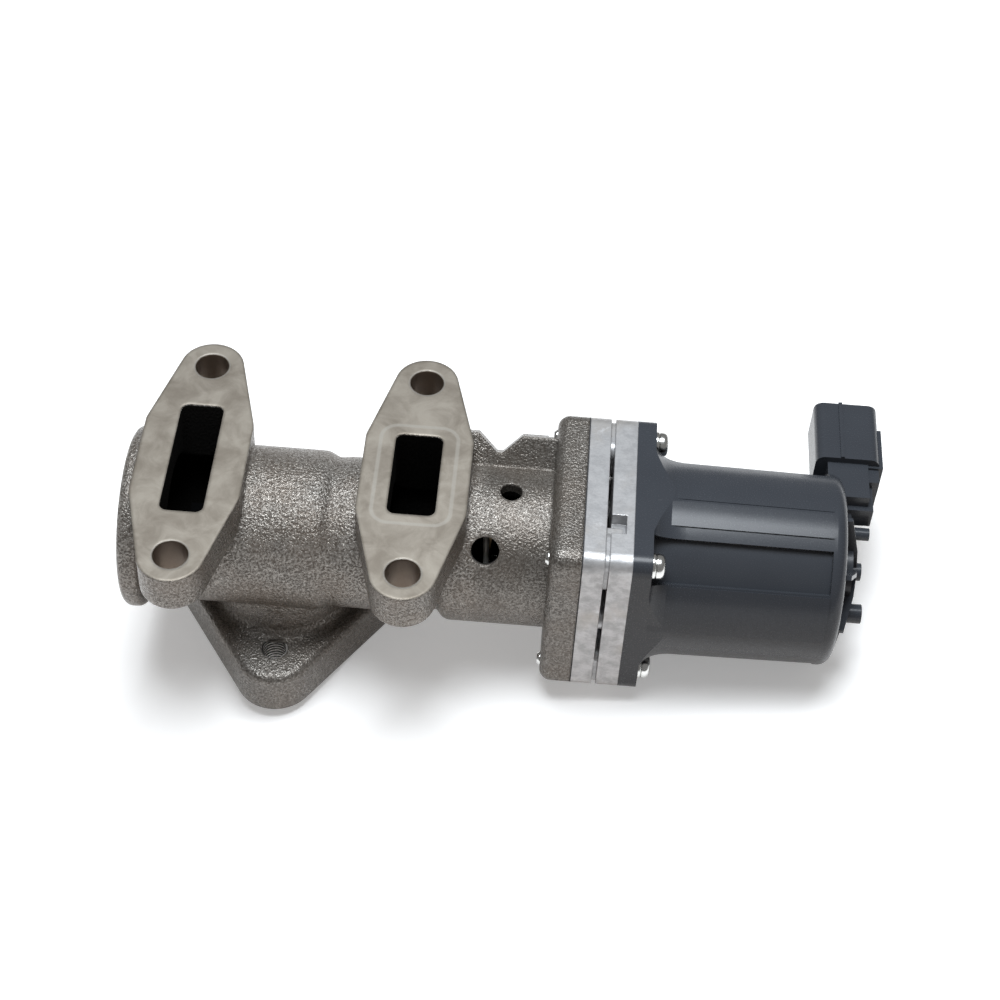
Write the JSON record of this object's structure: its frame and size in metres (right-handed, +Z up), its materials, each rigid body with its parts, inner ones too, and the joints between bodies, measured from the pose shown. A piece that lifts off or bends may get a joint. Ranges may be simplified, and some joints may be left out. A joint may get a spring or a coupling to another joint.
{
  "type": "egr valve",
  "caption": "Exhaust gas recirculation valve: cast housing with a bottom inlet and two flanged outlets on top, a double poppet valve inside and an electric motor under a moulded cover.",
  "frame": {"origin": "centre of the inlet port on the inlet flange's face", "axes": "+X along the valve axis towards the motor, +Z up out of the two outlet faces, +Y to the back, where the connector's mouth points"},
  "size_m": [0.2652, 0.1142, 0.085],
  "materials": {
    "cast_iron": "sand-cast, dark brown-grey, with machined port faces",
    "machined_steel": "turned",
    "stainless_steel": "turned, heat tinted",
    "spring_steel": "drawn wire",
    "sintered_bush": "sintered",
    "gasket": "pressed fibre",
    "cast_aluminium": "bright cast and milled",
    "seal_rubber": "moulded",
    "bearing_plastic": "machined polymer",
    "magnet": "bonded, dark grey",
    "core_steel": "laminated sheet",
    "insulator_plastic": "moulded, off-white",
    "copper_winding": "enamelled copper wire",
    "circuit_board": "solder resist",
    "cover_plastic": "moulded, satin blue-black",
    "contact_metal": "tinned",
    "zinc_screws": "bright zinc plated"
  },
  "bodies": {
    "housing": {"valve_housing": "cast_iron", "end_plug": "machined_steel", "left_valve_seat": "stainless_steel", "right_valve_seat": "stainless_steel", "stem_guide": "sintered_bush", "stem_scraper": "stainless_steel", "spring_seat": "machined_steel", "return_spring": "spring_steel", "housing_gasket": "gasket", "adapter_plate": "cast_aluminium", "shaft_seal": "seal_rubber", "base_plate": "cast_aluminium", "dowel_pins": "machined_steel", "shaft_bush": "bearing_plastic", "cover_seal": "seal_rubber", "front_bearing": "machined_steel", "rear_bearing": "machined_steel", "bearing_spring": "machined_steel", "stator_core": "core_steel", "stator_insulators": "insulator_plastic", "stator_coils": "copper_winding", "sensor_board": "circuit_board", "motor_cover": "cover_plastic", "connector_pins": "contact_metal", "cover_screws": "zinc_screws", "screw_washers": "zinc_screws"},
    "rotor": {"rotor_sleeve": "machined_steel", "rotor_magnet": "magnet", "sensor_magnet": "magnet", "front_bearing_inner": "machined_steel", "rear_bearing_inner": "machined_steel"},
    "motor_shaft": {"screw_shaft": "machined_steel"},
    "valve": {"valve_stem": "stainless_steel", "left_poppet": "stainless_steel", "right_poppet": "stainless_steel", "poppet_spacer": "stainless_steel", "poppet_nut": "machined_steel", "spring_retainer": "machined_steel", "retainer_collets": "machined_steel"}
  },
  "joints": [
    {"name": "rotor_spin", "type": "hinge", "parent": "housing", "child": "rotor", "pos_m": [0.152, 0, 0.05], "axis": [1, 0, 0], "range_deg": [0, 576]},
    {"name": "shaft_slide", "type": "slide", "parent": "housing", "child": "motor_shaft", "axis": [-1, 0, 0], "range_m": [0, 0.008]},
    {"name": "valve_lift", "type": "slide", "parent": "housing", "child": "valve", "axis": [-1, 0, 0], "range_m": [0, 0.008], "deforming": ["return_spring"]}
  ],
  "couplings": [
    {"joint": "shaft_slide", "follows": "rotor_spin", "m_per_rad": 0.00079577},
    {"joint": "valve_lift", "follows": "rotor_spin", "m_per_rad": 0.00079577}
  ]
}
